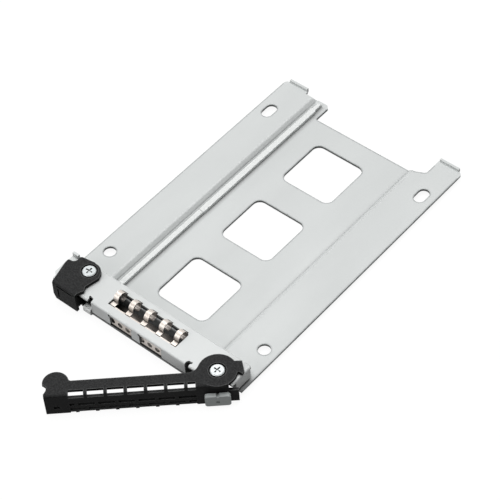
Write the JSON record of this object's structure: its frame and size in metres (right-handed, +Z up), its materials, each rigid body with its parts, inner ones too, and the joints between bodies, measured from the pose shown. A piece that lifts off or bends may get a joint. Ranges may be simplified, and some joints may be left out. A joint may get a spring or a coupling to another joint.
{
  "type": "hard drive tray",
  "caption": "Thin folded sheet-metal drive tray with a front bracket, a hinged pull lever with a cam tooth, a small latch, a slide button and a light pipe.",
  "frame": {"origin": "midway between the two front drive holes, on the underside of the centre panel", "axes": "+X to the lever's side along the front hole row, +Y towards the rear ears where the drive's connector is, +Z up out of the tray"},
  "size_m": [0.0717, 0.148, 0.0091],
  "materials": {
    "zinc_plate": "satin zinc-plated sheet steel",
    "contact_metal": "bright nickel-plated spring sheet",
    "black_paint": "fine-textured black powder coat",
    "hardware": "bright zinc",
    "spring_wire": "drawn spring wire",
    "clear_plastic": "clear moulded light-guide plastic",
    "grey_plastic": "fine-textured grey plastic"
  },
  "bodies": {
    "tray": {"tray_plate": "zinc_plate", "front_bracket": "zinc_plate", "bracket_rivets": "hardware", "contact_strip": "contact_metal", "front_light_pipe": "clear_plastic", "rear_light_pipe": "clear_plastic", "lever_washer": "hardware", "lever_bush": "hardware", "lever_screw": "hardware", "lever_nut": "hardware", "lever_spring": "spring_wire", "latch_washer": "hardware", "latch_bush": "hardware", "latch_screw": "hardware", "latch_nut": "hardware", "latch_spring": "spring_wire"},
    "lever": {"lever": "black_paint"},
    "button": {"slide_button": "grey_plastic", "button_retainer": "grey_plastic"},
    "latch": {"latch": "black_paint"}
  },
  "joints": [
    {"name": "lever_pivot", "type": "hinge", "parent": "tray", "child": "lever", "pos_m": [0.0284, -0.0176, 0.0079], "axis": [0, 0, 1], "range_deg": [-42.8, 0], "stiffness_Nm_per_rad": 0.02, "springref_deg": 17.19},
    {"name": "latch_pivot", "type": "hinge", "parent": "tray", "child": "latch", "pos_m": [-0.0262, -0.0131, 0.0079], "axis": [0, 0, 1], "range_deg": [-4, 7], "stiffness_Nm_per_rad": 0.02},
    {"name": "button_slide", "type": "slide", "parent": "lever", "child": "button", "axis": [-0.7337, -0.6794, 0], "range_m": [0, 0.002], "stiffness_N_per_m": 120, "springref_m": -0.002}
  ]
}
